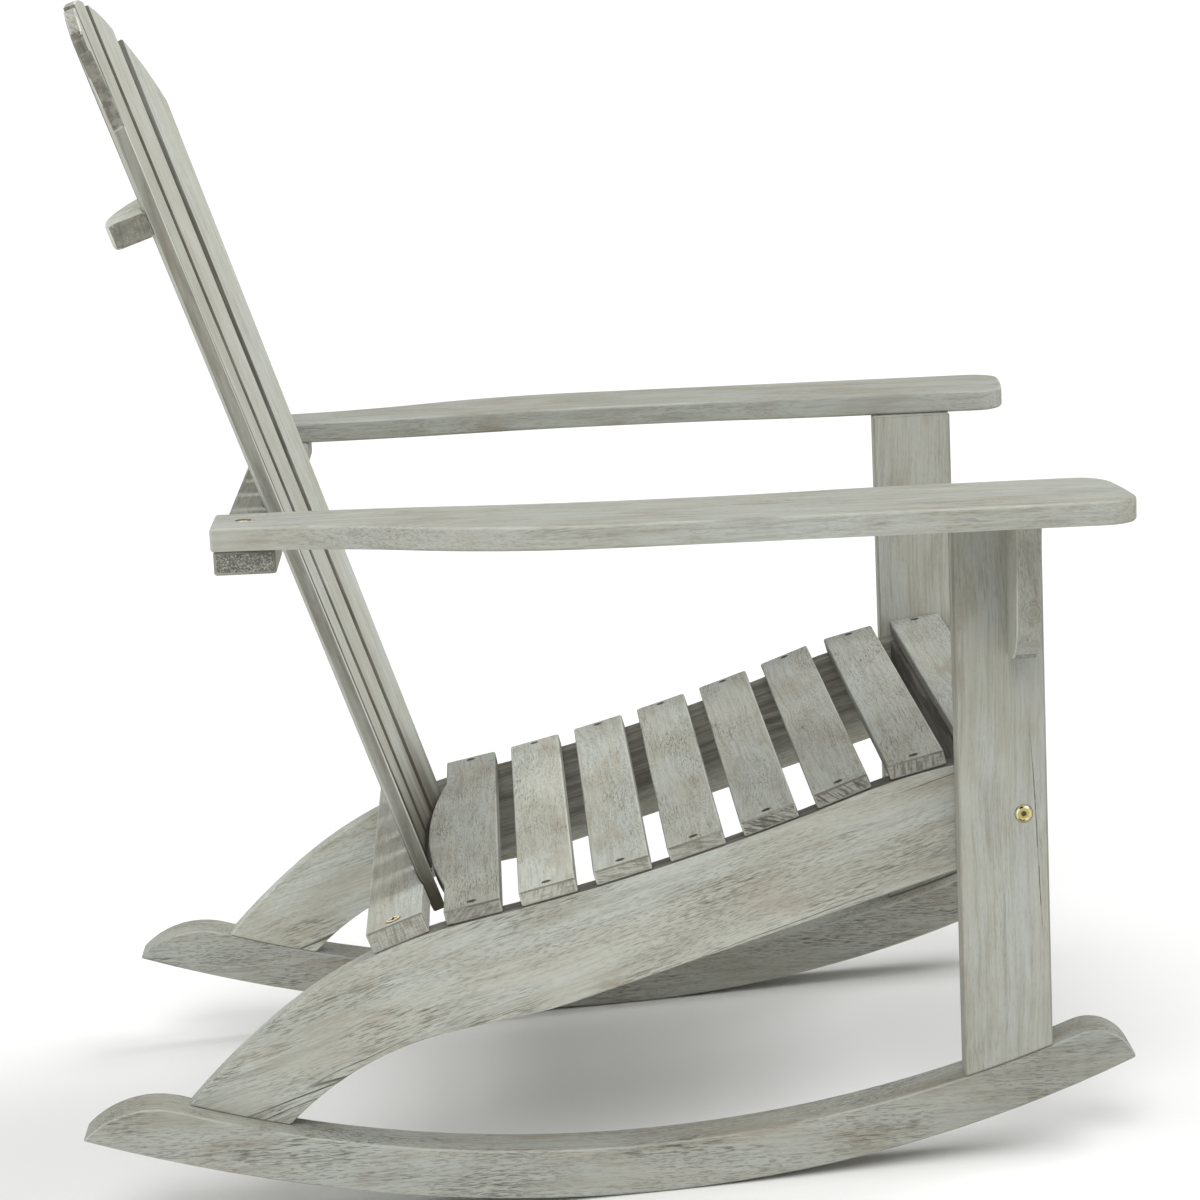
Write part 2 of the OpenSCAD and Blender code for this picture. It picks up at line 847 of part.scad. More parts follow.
module slat_holes() {
    for (side = [-1, 1])
        translate([side * (half_w - rail_t / 2), 0, 0]) {
            translate([0, 0, -over])
                cylinder(d = shank_d + 2 * fit_gap, h = slat_t + 2 * over);
            translate([0, 0, slat_t - seat_hole_h])
                cylinder(d = seat_hole_d, h = seat_hole_h + over);
        }
}

// Bow of the rear slat's rear edge, kept clear of the back
module slat_bow() {
    bow = lower_hollow + back_t / 10;
    bow_r = back_r - bow / 2;
    intersection() {
        translate([0, slat_w / 2 + bow - bow_r, 0])
            cylinder(r = bow_r, h = slat_t, $fn = 720);
        translate([over - half_w, slat_w / 2 - over, 0])
            cube([seat_w - 2 * over, slat_w, slat_t]);
    }
}

module seat_slat(i) {
    at_slat(i)
        difference() {
            union() {
                slat_board();
                if (i == 1)
                    slat_bow();
            }
            slat_holes();
        }
}

// Fasteners

module seat_screw() {
    floor_z = slat_t - seat_hole_h;
    translate([0, 0, floor_z])
        cylinder(d = seat_hole_d - 2 * fit_gap, h = seat_head_h);
    translate([0, 0, -seat_grip])
        cylinder(d = shank_d, h = floor_z + seat_grip + seat_head_h / 2);
}

module seat_screws() {
    for (i = [1 : 8])
        for (side = [-1, 1])
            at_slat(i)
                translate([side * (half_w - rail_t / 2), 0, 0])
                    seat_screw();
}

module leg_bolt() {
    difference() {
        union() {
            translate([0, 0, leg_t - bolt_head_h + bolt_proud])
                cylinder(d = bolt_d, h = bolt_head_h);
            translate([0, 0, fit_gap - rail_t])
                cylinder(d = bolt_shank_d, h = rail_t + leg_t - bolt_head_h / 2 - fit_gap);
        }
        translate([0, 0, leg_t + bolt_proud - bolt_head_h * 0.7])
            cylinder(d = bolt_d * 0.32, h = bolt_head_h, $fn = 6);
    }
}

module leg_bolts() {
    for (side = [-1, 1])
        on_side(side)
            translate([half_w, -bolt_u, bolt_z])
                rotate([0, 90, 0])
                    leg_bolt();
}

// A cross-slotted screw: the head's underside is at z = 0
module slotted_screw(d, head_h, length) {
    difference() {
        union() {
            cylinder(d = d, h = head_h);
            translate([0, 0, -length])
                cylinder(d = shank_d, h = length + head_h / 2);
        }
        for (turn = [0, 90])
            rotate([0, 0, turn])
                translate([-d / 4, -d / 16, head_h / 2])
                    cube([d / 2, d / 8, head_h]);
    }
}

module cross_screws() {
    for (side = [-1, 1])
        at_slope(lower_p, lower_slope)
            translate([side * (half_w - rail_t / 2), 0, board_gap + lower_t - cross_head_h / 2])
                slotted_screw(cross_screw_d, cross_head_h, lower_t + cross_grip - cross_head_h);
}

module arm_screws() {
    for (side = [-1, 1])
        at_arms()
            translate([side * arm_screw_x, -arm_screw_u, board_gap + arm_t - arm_hole_h])
                slotted_screw(arm_hole_d - 2 * fit_gap, arm_head_h, arm_t + arm_brace_t / 2);
}

module placed_rocker(side) { color(wood) at_rest() rocker(side); }
module placed_rail(side) { color(wood) at_rest() rail(side); }
module placed_leg(side) { color(wood) at_rest() leg(side); }
module placed_arm(side) { color(wood) at_rest() arm(side); }
module placed_corbel(side) { color(wood) at_rest() corbel(side); }
module placed_back_slat(k) { color(wood) at_rest() back_slat(k); }
module placed_seat_slat(i) { color(wood) at_rest() seat_slat(i); }

placed_rocker(-1);  // rocker_right
placed_rocker(1);  // rocker_left
placed_rail(-1);  // rail_right
placed_rail(1);  // rail_left
placed_leg(-1);  // leg_right
placed_leg(1);  // leg_left
placed_arm(-1);  // arm_right
placed_arm(1);  // arm_left
placed_corbel(-1);  // corbel_right
placed_corbel(1);  // corbel_left
color(wood_dark) at_rest() arm_brace();
color(wood) at_rest() upper_brace();
color(wood) at_rest() lower_cross();
color(wood_dark) at_rest() apron();
placed_back_slat(-2);  // back_slat_1
placed_back_slat(-1);  // back_slat_2
placed_back_slat(0);  // back_slat_3
placed_back_slat(1);  // back_slat_4
placed_back_slat(2);  // back_slat_5
placed_seat_slat(1);  // seat_slat_1
placed_seat_slat(2);  // seat_slat_2
placed_seat_slat(3);  // seat_slat_3
placed_seat_slat(4);  // seat_slat_4
placed_seat_slat(5);  // seat_slat_5
placed_seat_slat(6);  // seat_slat_6
placed_seat_slat(7);  // seat_slat_7
placed_seat_slat(8);  // seat_slat_8
color(steel) at_rest() seat_screws();
color(brass) at_rest() leg_bolts();
color(brass) at_rest() cross_screws();
color(brass) at_rest() arm_screws();
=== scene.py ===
import json
import math
import random

import bmesh
import bpy
import numpy as np
from mathutils import Matrix, Vector


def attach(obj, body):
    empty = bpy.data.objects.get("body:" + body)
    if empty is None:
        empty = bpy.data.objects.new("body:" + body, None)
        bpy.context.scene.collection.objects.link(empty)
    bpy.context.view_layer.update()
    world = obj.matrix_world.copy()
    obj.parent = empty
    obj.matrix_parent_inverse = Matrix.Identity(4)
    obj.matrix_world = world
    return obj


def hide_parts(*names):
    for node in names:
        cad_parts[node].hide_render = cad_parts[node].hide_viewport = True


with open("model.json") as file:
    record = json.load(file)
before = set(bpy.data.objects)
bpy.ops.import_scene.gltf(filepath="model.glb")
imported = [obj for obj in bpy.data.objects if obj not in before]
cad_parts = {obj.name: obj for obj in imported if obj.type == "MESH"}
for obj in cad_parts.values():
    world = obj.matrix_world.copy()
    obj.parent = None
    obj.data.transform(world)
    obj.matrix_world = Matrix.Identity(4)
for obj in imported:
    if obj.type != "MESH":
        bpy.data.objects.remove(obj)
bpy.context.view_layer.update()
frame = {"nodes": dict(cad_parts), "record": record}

nodes = frame["nodes"]
slots = {s["node"]: s["material_slot"] for s in frame["record"]["subparts"]}

# Meshes, in metres and degrees
WELD = 0.00015            # vertices of a board closer than this are one
METAL_WELD = WELD / 3     # the same for a fastener
FLAT_DEG = 0.35           # faces that turn less than this are one face
SHARP_DEG = 28.0          # an edge of a board that turns more than this is an arris
WOOD_SMOOTH_DEG = 50.0    # an edge that turns less than this is shaded round
METAL_SHARP_DEG = 50.0    # an edge of a fastener that turns more than this is rounded
METAL_SMOOTH_DEG = 40.0
ARRIS_STEPS = 3           # faces across a rounding
METAL_ROUND = 0.00025     # rounding of a fastener's edges
METAL_STEPS = 2
NORMAL_WEIGHT = 100       # the large faces decide how the roundings are shaded
BORE_ROOM = 0.0012        # an edge this close around a fastener belongs to its bore
BORE_DEPTH = 0.02         # and so does one this far past the fastener's end
ARM_SCREW_LIFT = 0.0015   # the arm screws' heads show this much nearer the surface


def look(tone, coarse=0.7, rubbed=0.35, arris=0.0016, bore=0.9):
    """How one group of boards looks: lightness, partly painted light and shade for some groups, strength of
    the pores, share of an arris rubbed light, rounding of the arrises in metres, and darkness of the
    painted shade in the fasteners' bores."""
    return {"tone": tone, "coarse": coarse, "rubbed": rubbed, "arris": arris, "bore": bore}


# Boards, by the first word of their names
LOOKS = {
    "rocker": look(0.88, coarse=1.0, arris=0.0020),
    "rail": look(1.03, coarse=0.85, rubbed=0.15),
    "leg": look(0.87, coarse=0.28),
    "seat": look(0.95, coarse=0.75, rubbed=0.50, arris=0.0018, bore=0.75),
    "back": look(1.10, coarse=0.35, rubbed=0.85),
    "lower": look(1.02, rubbed=0.50, bore=0.50),
    # the upper brace's high lightness is painted light on its top
    "upper": look(1.44, arris=0.0030),
    "arm": look(0.87, coarse=0.45, arris=0.0024, bore=0.65),
    # the corbels' low lightness is partly their own tone and partly painted shade under the arms
    "corbel": look(0.70, coarse=0.6),
    # the apron's low lightness is painted shade under the seat
    "apron": look(0.80),
}
# The far arm is painted darker and the far rail lighter, as shade and light.
NODE_TONE = {"arm_left": 0.90, "rail_left": 1.22}                   # lightness beside the group's
# The seat slats' lightness is painted light and shade: the near arm's shadow darkens the front slats.
SEAT_TONE = (0.86, 1.22, 1.12, 1.00, 0.86, 0.78, 0.78, 0.79)        # from the rear slat to the front
TONE_SPREAD = 0.02
CORBEL_REAR_PAINTED_LIGHT = 1.45   # painted light: the corbels' rear faces are lighter than their sides
END_TURN = {"lower": 0.02}                        # angle of the end grain's lines, in half turns
CORBEL_GRAIN = (0.0, 0.12, 1.0)                   # direction of the corbels' grain

# Faces, told apart by the cosine between a face's normal and a direction
END_COS = 0.80            # a face this square to the grain is end grain
RIM_COS = 0.30            # a rounding this far towards the end belongs to the end's rim
RIM_COS_UP = 0.20         # a rim that looks up or down by more than this
CORBEL_REAR_COS = 0.5
RAIL_COS = 0.5
SEAT_BELOW_COS, SEAT_SIDE_COS = 0.5, 0.8
BRACE_END_COS = 0.7
HEAD_UP_COS, HEAD_SIDE_COS = 0.3, 0.25            # the cut tops of the back slats
HEAD_LIGHT_COS = 0.70                             # and the part of them that stays light
SLAT_SIDE_COS = 0.6

# Shares of end grain and of a rim's darkness
ARM_TIP_END = 0.25
RIMMED = ("seat", "lower", "arm_brace", "upper")
# a rim that looks down is darker partly as painted shade, as where the seat slats rest on the rails
RIM_UP, RIM_DOWN_SHADE, RIM_SIDE = 1.0, 0.7, 0.2
RIM_BRACE, RIM_LEG = 0.9, 0.55

# Places on the boards, in metres
ARMS = ("arm_right", "arm_left")
TIP_LENGTH = 0.045        # the arms' front ends bow back towards the inner corner
TIP_BACK = 0.012
TIP_EDGE_DEPTH = 0.004    # an edge this near the foremost point is the front end
TIP_EDGE_WIDTH = 0.02
TIP_CUTS = 9
CORBELS = ("corbel_right", "corbel_left")
KNOT_Y, KNOT_Z = -0.3500, 0.4530    # middle of the knot on each corbel
CRACKED = ("rail",)       # groups with long fine cracks
RIFT_Y, RIFT_Z = -0.3475, 0.2814    # a crack runs past the leg's bolt here
RIFT_SLOPE = -0.010
HEAD_Z = 0.955            # above this height the back slats' ends stay light where they face up
FOOT_Z = 0.220            # lower ends of the back slats
FRONT_SHADED = ("rail_right", "rocker_right")            # boards painted darker towards the front, as shade
FAR = 1.0                 # stands for a distance out of a mark's reach

# Shares of painted shade on faces that lie in shade: under the seat, in the gaps, and some sides and ends
RAIL_INSIDE, RAIL_TOP = 0.95, 0.90
APRON_ALL = 1.00
SEAT_BELOW, SEAT_SIDE = 0.70, 0.50
BRACE_END = 0.80
SLAT_HEAD, SLAT_GAP, SLAT_OUTER = 0.90, 0.90, 0.60

# Colours, as they look on a screen from 0 to 255
COLOURS = {
    "wash_cool": (184, 187, 180),
    "wash_warm": (184, 184, 174),
    "wash_olive": (166, 165, 152),
    "fibre": (148, 145, 132),
    "brown": (150, 135, 114),
    "pore": (80, 77, 65),
    "end_light": (168, 168, 158),
    "end_dark": (80, 78, 70),
    "end_deep": (66, 64, 56),
    "edge_light": (206, 206, 198),
    "edge_dark": (92, 86, 72),
    # painted shade for faces under the seat and in the gaps
    "hidden_shade": (80, 77, 68),
    # painted shade in bores, slots, sockets and shanks; also darkens the back slats' feet
    "bore": (66, 60, 46),
    "floor_low": (240, 240, 239),
    "floor_high": (244, 244, 243),
}

# Noise in the wood: cells per metre along, across and through the board, detail, roughness, and
# whether the noise follows the wandering fibres
WOOD_NOISE = {
    "sway": ((5.0, 9.0, 9.0), 2.0, 0.50, False),
    "broad": ((4.0, 34.0, 34.0), 3.0, 0.55, True),
    "cloud": ((8.0, 16.0, 16.0), 3.0, 0.60, False),
    "fine": ((16.0, 520.0, 520.0), 3.0, 0.60, True),
    "vein": ((9.0, 170.0, 170.0), 3.0, 0.60, True),
    "worn": ((12.0, 44.0, 44.0), 3.0, 0.65, True),
    "pore": ((150.0, 1050.0, 1050.0), 1.0, 0.50, False),
    "pore_patch": ((9.0, 22.0, 22.0), 2.0, 0.50, False),
    "dash": ((75.0, 900.0, 900.0), 1.5, 0.50, True),
    "streak": ((26.0, 620.0, 620.0), 2.0, 0.60, True),
    "dash_patch": ((10.0, 30.0, 30.0), 2.0, 0.50, False),
    "crack": ((1.8, 46.0, 46.0), 1.0, 0.50, True),
    "crack_patch": ((3.5, 16.0, 16.0), 1.0, 0.50, False),
    "rift_weave": ((26.0, 1.0, 1.0), 2.0, 0.50, False),
    "rift_break": ((70.0, 1.0, 1.0), 2.0, 0.50, False),
    "mottle": ((60.0, 170.0, 220.0), 4.0, 0.70, False),
    "daub": ((60.0, 620.0, 700.0), 4.0, 0.80, False),
    "rub": ((7.0, 20.0, 20.0), 2.0, 0.50, False),
}
# Noise on the end grain: cells per metre across and through the board, detail, roughness
END_LINES = (560.0, 60.0, 3.0, 0.65)
END_SAW = (90.0, 900.0, 1.0, 0.50)
END_BLOT = (90.0, 45.0, 3.0, 0.60)
SWAY = 0.020              # how far the fibres wander across the board, in metres
SWAY_THROUGH = 0.6        # the share of that through the board
HEART_ACROSS, HEART_THROUGH = 0.055, 0.040        # added to the grain, so that zero is the rings' heart
RING_WAVES = 900.0        # radians per metre
RING_WANDER = 0.010
KNOT_WAVES = 2100.0
KNOT_EDGE = (0.0105, 0.0085)        # radii between which a knot's rings fade out
RIFT_WANDER = 0.004
RIFT_EDGE = (0.0006, 0.0001)        # half widths between which the crack turns dark
RIFT_TOP = (0.37, 0.33)             # heights between which its upper end fades out
RIFT_FOOT = (0.17, 0.21)            # and its lower end
FOOT_DARK_EDGE = (0.01, 0.11)            # heights above the slats' feet between which the darkening fades
FOOT_DARK_WANDER = 0.10
BEHIND_EDGE = (0.10, 0.22)          # the painted shade on the rails' inner faces fades out here, where they come out from under the seat
BELOW_EDGE = (-0.045, -0.010)       # the painted shade on the rails' inner faces is lighter on their lower halves
FRONT_SHADE_EDGE = (-0.36, -0.10)          # the near rail and rocker are painted darker, as shade, over this stretch of y
WOOD_RELIEF = 0.0006      # depth of the grain
WOOD_BUMP = 0.55

# Metals: colour, dark of the specks and of the painted shadow round the head, hollow of the head, roughness
# and metallic share
BRASS = ((226, 212, 160), (84, 74, 34), (150, 146, 80), 0.34, 0.85)
# pale base and small metallic share: a painted sheen standing in for the reflections
SHEEN_BRASS = ((252, 240, 198), (120, 98, 48), (226, 208, 152), 0.40, 0.15)
STEEL = ((116, 111, 94), (62, 58, 46), (92, 87, 72), 0.60, 0.20)
BOLT_RING = (0.0041, 0.0068)        # radii of a head's raised rim: its inner and outer foot
SCREW_RING = (0.0034, 0.0060)
SEAT_SCREW_RING = (0.0026, 0.0037)
SLOT_HALF = 0.0013                  # half width of a cross slot's arms, painted dark as shade
SLOT_REACH = (0.72, 0.66)           # its length, as shares of the rim's outer radius
SUNK_EDGE = (0.0002, 0.0009)        # depths between which a socket and shank are painted dark as shade
SPECK_CELLS = (900.0, 900.0, 900.0)
BRUSH_CELLS = (300.0, 2400.0, 2400.0)
METAL_RELIEF = 0.0009
# Reflections on the bolt's rim: degrees round the axis, half width in degrees, colour
GLINTS = ((152, 26, (255, 252, 232)), (64, 26, (255, 252, 226)), (108, 20, (40, 36, 12)),
          (250, 40, (120, 104, 60)))

# Camera, in metres, degrees and millimetres of film
CAM_AT = (-3.03197, 0.02849, 1.00801)
CAM_TURN = -0.798
CAM_DIP = 10.969
CAM_ROLL = 5.612
CAM_LENS = 108.0
CAM_SENSOR = 36.0
CAM_SHIFT = (0.0113, 0.0135)
CAM_CLIP = (0.1, 200.0)

# Studio: name, direction towards the source, spread in degrees, power
LIGHTS = (
    ("side", (-0.66, 0.12, 0.74), 35.0, 1.45),
    ("front", (0.05, -0.64, 0.77), 40.0, 1.75),
    ("top", (0.0, 0.20, 0.98), 60.0, 0.45),
    ("back", (-0.10, 0.70, 0.70), 50.0, 0.5),
)
SKY = (1.0, 1.0, 0.99, 1.0)
SKY_POWER = 0.22
COVE_START = 20.0         # the floor rises gently beyond this radius
COVE_RISE = 2.2
FLOOR_RADII = (0.02, 4.0, 12.0, *range(20, 63, 6))
FLOOR_SIDES = 96
FLOOR_CELLS = (0.8, 0.8, 0.8)
FLOOR_DROP = 0.0005       # keeps the floor just clear of the rockers

SEED = 7


def rgb(r, g, b):
    """A colour given as it looks on a screen, from 0 to 255, as the linear colour of a shader."""
    def linear(v):
        v /= 255.0
        return v / 12.92 if v <= 0.04045 else ((v + 0.055) / 1.055) ** 2.4
    return (linear(r), linear(g), linear(b), 1.0)


def colour(name):
    return rgb(*COLOURS[name])


def add_object(name, data):
    obj = bpy.data.objects.new(name, data)
    bpy.context.scene.collection.objects.link(obj)
    return obj


def stand_in(obj, node):
    """Let an object take the place of the CAD node that it dresses."""
    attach(obj, "root")
    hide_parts(node)


class Tree:
    """Short calls that add shader nodes to one material."""

    def __init__(self, name):
        self.mat = bpy.data.materials.new(name)
        self.mat.use_nodes = True
        self.nt = self.mat.node_tree
        self.nt.nodes.clear()
        self.out = self.nt.nodes.new("ShaderNodeOutputMaterial")

    def link(self, value, socket):
        if isinstance(value, bpy.types.NodeSocket):
            self.nt.links.new(value, socket)
        else:
            socket.default_value = value

    def attr(self, name, output="Fac"):
        n = self.nt.nodes.new("ShaderNodeAttribute")
        n.attribute_name = name
        return n.outputs[output]

    def math(self, op, a, b=0.0, clamp=False):
        n = self.nt.nodes.new("ShaderNodeMath")
        n.operation = op
        n.use_clamp = clamp
        self.link(a, n.inputs[0])
        self.link(b, n.inputs[1])
        return n.outputs[0]

    def plus(self, a, b):
        return self.math("ADD", a, b)

    def minus(self, a, b):
        return self.math("SUBTRACT", a, b)

    def times(self, a, b):
        return self.math("MULTIPLY", a, b)

    def scaled(self, vector, factors):
        n = self.nt.nodes.new("ShaderNodeVectorMath")
        n.operation = "MULTIPLY"
        self.link(vector, n.inputs[0])
        self.link(factors, n.inputs[1])
        return n.outputs[0]

    def length(self, vector):
        n = self.nt.nodes.new("ShaderNodeVectorMath")
        n.operation = "LENGTH"
        self.link(vector, n.inputs[0])
        return n.outputs["Value"]

    def split(self, vector):
        n = self.nt.nodes.new("ShaderNodeSeparateXYZ")
        self.link(vector, n.inputs[0])
        return n.outputs

    def join(self, x, y, z):
        n = self.nt.nodes.new("ShaderNodeCombineXYZ")
        for value, socket in zip((x, y, z), n.inputs):
            self.link(value, socket)
        return n.outputs[0]

    def noise(self, where, detail=3.0, rough=0.5):
        n = self.nt.nodes.new("ShaderNodeTexNoise")
        self.link(where, n.inputs["Vector"])
        n.inputs["Scale"].default_value = 1.0
        n.inputs["Detail"].default_value = detail
        n.inputs["Roughness"].default_value = rough
        return n.outputs["Fac"]

    def band(self, value, low, high, to_low=0.0, to_high=1.0):
        """A smooth step from to_low at low to to_high at high."""
        n = self.nt.nodes.new("ShaderNodeMapRange")
        n.interpolation_type = "SMOOTHSTEP"
        self.link(value, n.inputs["Value"])
        n.inputs["From Min"].default_value = low
        n.inputs["From Max"].default_value = high
        n.inputs["To Min"].default_value = to_low
        n.inputs["To Max"].default_value = to_high
        return n.outputs[0]

    def mix(self, share, a, b, kind="MIX"):
        n = self.nt.nodes.new("ShaderNodeMix")
        n.data_type = "RGBA"
        n.blend_type = kind
        n.clamp_factor = True
        self.link(share, n.inputs[0])
        self.link(a, n.inputs[6])
        self.link(b, n.inputs[7])
        return n.outputs[2]

    def bump(self, height, strength, distance):
        n = self.nt.nodes.new("ShaderNodeBump")
        n.inputs["Strength"].default_value = strength
        n.inputs["Distance"].default_value = distance
        self.link(height, n.inputs["Height"])
        return n.outputs[0]

    def surface(self, color, rough, normal=None, metallic=0.0, specular=0.5):
        n = self.nt.nodes.new("ShaderNodeBsdfPrincipled")
        self.link(color, n.inputs["Base Color"])
        self.link(rough, n.inputs["Roughness"])
        n.inputs["Metallic"].default_value = metallic
        n.inputs["Specular IOR Level"].default_value = specular
        if normal is not None:
            self.link(normal, n.inputs["Normal"])
        self.nt.links.new(n.outputs[0], self.out.inputs[0])
        return self.mat


class Wood(Tree):
    """Grey-washed wood in layers. Each board's vertices and faces carry its grain and its marks."""

    def __init__(self, name, rough_paint):
        super().__init__(name)
        self.rough_paint = rough_paint
        self.grain = self.attr("grain", "Vector")
        self.along, self.across, self.through = self.split(self.grain)
        self.sway = self.times(self.centred("sway"), SWAY)
        self.fibre = self.join(self.along, self.plus(self.across, self.sway),
                               self.plus(self.through, self.times(self.sway, SWAY_THROUGH)))
        self.broad, self.cloud = self.grained("broad"), self.grained("cloud")
        self.fine, self.vein = self.grained("fine"), self.grained("vein")
        self.endgrain = self.attr("endgrain")

    def grained(self, key):
        cells, detail, rough, follows = WOOD_NOISE[key]
        where = self.fibre if follows else self.grain
        return self.noise(self.scaled(where, cells), detail, rough)

    def centred(self, key):
        return self.minus(self.grained(key), 0.5)

    def wash(self):
        color = self.mix(self.band(self.broad, 0.40, 0.60), colour("wash_warm"), colour("wash_cool"))
        color = self.mix(self.band(self.cloud, 0.44, 0.70, 0.0, 0.60), color, colour("wash_olive"))
        color = self.mix(self.band(self.vein, 0.50, 0.72, 0.0, 0.42), color, colour("fibre"))
        return self.mix(self.band(self.fine, 0.45, 0.68, 0.0, 0.38), color, colour("fibre"))

    def rings(self, color):
        """Wavy bands around a far heart."""
        y = self.plus(self.plus(self.across, self.sway), HEART_ACROSS)
        z = self.plus(self.through, HEART_THROUGH)
        far = self.math("SQRT", self.plus(self.times(y, y), self.times(z, z)))
        far = self.plus(far, self.times(self.minus(self.broad, 0.5), RING_WANDER))
        self.ring = self.band(self.math("SINE", self.times(far, RING_WAVES)), 0.1, 1.0)
        share = self.times(self.ring, self.band(self.cloud, 0.35, 0.65, 0.04, 0.24))
        return self.mix(share, color, colour("fibre"))

    def pores(self, color):
        """Short dark dashes, small and dense nearly everywhere, longer ones in patches."""
        coarse = self.attr("coarse")
        patch = self.band(self.grained("pore_patch"), 0.34, 0.62, 0.25, 1.0)
        self.pore = self.times(self.times(self.band(self.grained("pore"), 0.52, 0.64), patch), coarse)
        patch = self.times(self.band(self.grained("dash_patch"), 0.46, 0.66), coarse)
        self.dash = self.times(self.band(self.grained("dash"), 0.54, 0.63), patch)
        streak = self.times(self.band(self.grained("streak"), 0.56, 0.67), patch)
        color = self.mix(self.times(self.pore, 0.42), color, colour("pore"))
        color = self.mix(self.times(self.dash, 0.62), color, colour("pore"))
        return self.mix(self.times(streak, 0.36), color, colour("pore"))

    def cracks(self, color):
        """A few long fine cracks, and the one that passes the leg's bolt."""
        split = self.math("ABSOLUTE", self.centred("crack"))
        patch = self.band(self.grained("crack_patch"), 0.55, 0.62)
        crack = self.times(self.times(self.band(split, 0.010, 0.002), patch), self.attr("cracked"))
        weave = self.plus(self.attr("rift"), self.times(self.centred("rift_weave"), RIFT_WANDER))
        rift = self.band(self.math("ABSOLUTE", weave), *RIFT_EDGE)
        rift = self.times(rift, self.band(self.attr("up"), *RIFT_TOP))
        rift = self.times(rift, self.band(self.grained("rift_break"), 0.40, 0.58, 0.35, 1.0))
        rift = self.times(rift, self.band(self.attr("up"), *RIFT_FOOT))
        self.crack = self.math("MAXIMUM", crack, rift)
        return self.mix(self.times(self.crack, 0.90), color, colour("pore"))

    def knots(self, color):
        far = self.length(self.attr("knot", "Vector"))
        turns = self.plus(self.times(far, KNOT_WAVES), self.times(self.broad, 5.0))
        curl = self.band(self.math("SINE", turns), -0.2, 0.9)
        return self.mix(self.times(curl, self.band(far, *KNOT_EDGE, 0.0, 0.55)), color, colour("fibre"))

    def worn_wood(self, color):
        """Browner wood that shows through the wash here and there."""
        return self.mix(self.band(self.grained("worn"), 0.50, 0.76, 0.0, 0.40), color, colour("brown"))

    def end_noise(self, y, z, field):
        y_cells, z_cells, detail, rough = field
        where = self.join(self.times(y, y_cells), self.times(z, z_cells), self.along)
        return self.noise(where, detail, rough)

    def end_grain(self, color):
        """Streaks at an angle that each board has for itself, saw marks and dark daubs."""
        kind = self.attr("kind")
        turn = self.times(kind, math.pi)
        cos, sin = self.math("COSINE", turn), self.math("SINE", turn)
        u = self.plus(self.times(self.across, cos), self.times(self.through, sin))
        v = self.minus(self.times(self.through, cos), self.times(self.across, sin))
        self.lines = self.end_noise(u, v, END_LINES)
        self.mottle = self.grained("mottle")
        saw = self.end_noise(self.across, self.through, END_SAW)
        blot = self.end_noise(self.across, self.through, END_BLOT)
        depth = self.band(self.math("FRACT", self.times(kind, 7.3)), 0.0, 1.0, 0.45, 1.0)
        light, dark = colour("end_light"), colour("end_dark")
        cut = self.mix(self.times(self.band(self.lines, 0.44, 0.60), depth), light, dark)
        cut = self.mix(self.band(saw, 0.52, 0.66, 0.0, 0.35), cut, dark)
        cut = self.mix(self.band(self.mottle, 0.46, 0.70, 0.0, 0.25), cut, colour("brown"))
        cut = self.mix(self.times(self.band(blot, 0.53, 0.64), self.times(depth, 0.6)), cut, dark)
        daub = self.grained("daub")
        cut = self.mix(self.band(daub, 0.46, 0.56, 0.95 * self.rough_paint, 0.0), cut, colour("end_deep"))
        cut = self.mix(self.band(daub, 0.56, 0.68, 0.0, 0.60 * self.rough_paint), cut, colour("edge_light"))
        return self.mix(self.times(self.endgrain, 0.90), color, cut)

    def arrises(self, color):
        """Rubbed lighter along most of a board, dark where stain settled, dark round the ends."""
        rub, rim = self.grained("rub"), self.attr("rim")
        long_arris = self.times(self.attr("arris"), self.math("SUBTRACT", 1.0, rim, clamp=True))
        rubbed = self.times(long_arris, self.band(rub, 0.40, 0.56, 0.15, 1.0))
        color = self.mix(rubbed, color, colour("edge_light"))
        stained = self.times(long_arris, self.band(rub, 0.44, 0.34, 0.0, 0.60))
        color = self.mix(stained, color, colour("edge_dark"))
        ended = self.times(rim, self.band(rub, 0.36, 0.56, 0.35, 0.75))
        return self.mix(ended, color, colour("edge_dark"))

    def painted_hidden_shade(self, color):
        """Painted shade on faces that lie in shade: under the seat, in the gaps, and some sides and ends.
        """
        shade_depth = self.times(self.band(self.vein, 0.35, 0.65, 0.75, 1.0),
                          self.band(self.attr("behind"), *BEHIND_EDGE, 1.0, 0.0))
        shade_depth = self.times(shade_depth, self.band(self.attr("above"), *BELOW_EDGE, 0.25, 1.0))
        return self.mix(self.times(self.attr("hidden_shade"), shade_depth), color, colour("hidden_shade"))

    def dark_feet_and_bore_shade(self, color):
        """The back slats get darker towards their feet, and the bores get painted shade."""
        wander = self.times(self.minus(self.broad, 0.5), FOOT_DARK_WANDER)
        above_foot = self.plus(self.attr("foot"), wander)
        color = self.mix(self.band(above_foot, *FOOT_DARK_EDGE, 0.88, 0.0), color, colour("bore"))
        return self.mix(self.times(self.attr("bore"), 0.92), color, colour("bore"))

    def shade(self, color):
        """Each board has its own lightness, partly painted light and shade; the near rail and rocker are
        painted darker towards the front, as shade.
        """
        tone = self.times(self.attr("tone"), self.band(self.attr("front_shade"), *FRONT_SHADE_EDGE, 0.78, 1.0))
        return self.mix(1.0, color, self.join(self.times(tone, 0.99), tone, tone), "MULTIPLY")

